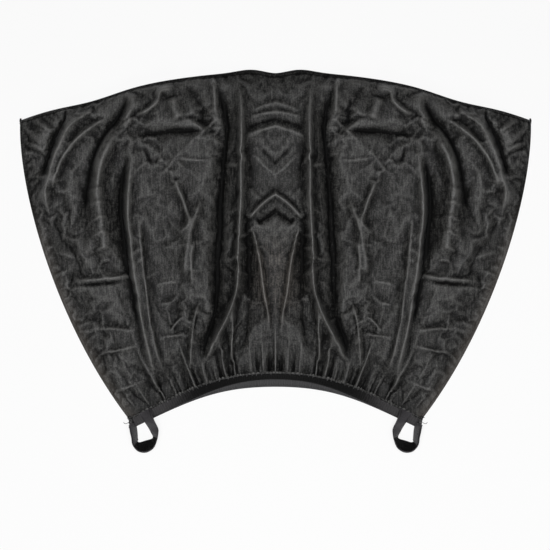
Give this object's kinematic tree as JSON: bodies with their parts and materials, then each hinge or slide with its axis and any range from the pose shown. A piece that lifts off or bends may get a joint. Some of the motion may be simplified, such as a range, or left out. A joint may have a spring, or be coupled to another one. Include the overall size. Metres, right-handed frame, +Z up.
{
  "type": "car side window sunshade",
  "caption": "Slip-on mesh sunshade for a car side window: a double mesh sleeve with an elastic mouth and a hook-and-loop strap at each lower corner",
  "frame": {"origin": "on the floor under the middle of the bounding box of the shade as it lies flat", "axes": "+X across the window, from the left to the right side edge; +Y from the elastic mouth to the closed top edge; +Z up from the floor"},
  "size_m": [0.8164, 0.612, 0.0276],
  "materials": {
    "front_mesh": "black stretch mesh, fine knit with a soft sheen",
    "rear_mesh": "black stretch mesh, fine knit with a soft sheen",
    "front_elastic": "black ribbed elastic, matte",
    "rear_elastic": "dark grey ribbed elastic, matte",
    "thread": "black overlocked seam allowance, matte",
    "webbing": "charcoal polyester webbing, fine ribs",
    "velour": "black loop pile, very matte",
    "hooks": "black hook tape, slightly shiny"
  },
  "bodies": {
    "root": {"front_mesh_panel": "front_mesh", "rear_mesh_panel": "rear_mesh", "front_elastic_band": "front_elastic", "rear_elastic_band": "rear_elastic", "top_seam": "thread", "left_side_seam": "thread", "right_side_seam": "thread", "left_long_strap": "webbing", "left_loop_patch": "velour", "left_hook_patch": "hooks", "left_short_strap": "webbing", "right_long_strap": "webbing", "right_loop_patch": "velour", "right_hook_patch": "hooks", "right_short_strap": "webbing"}
  },
  "joints": []
}
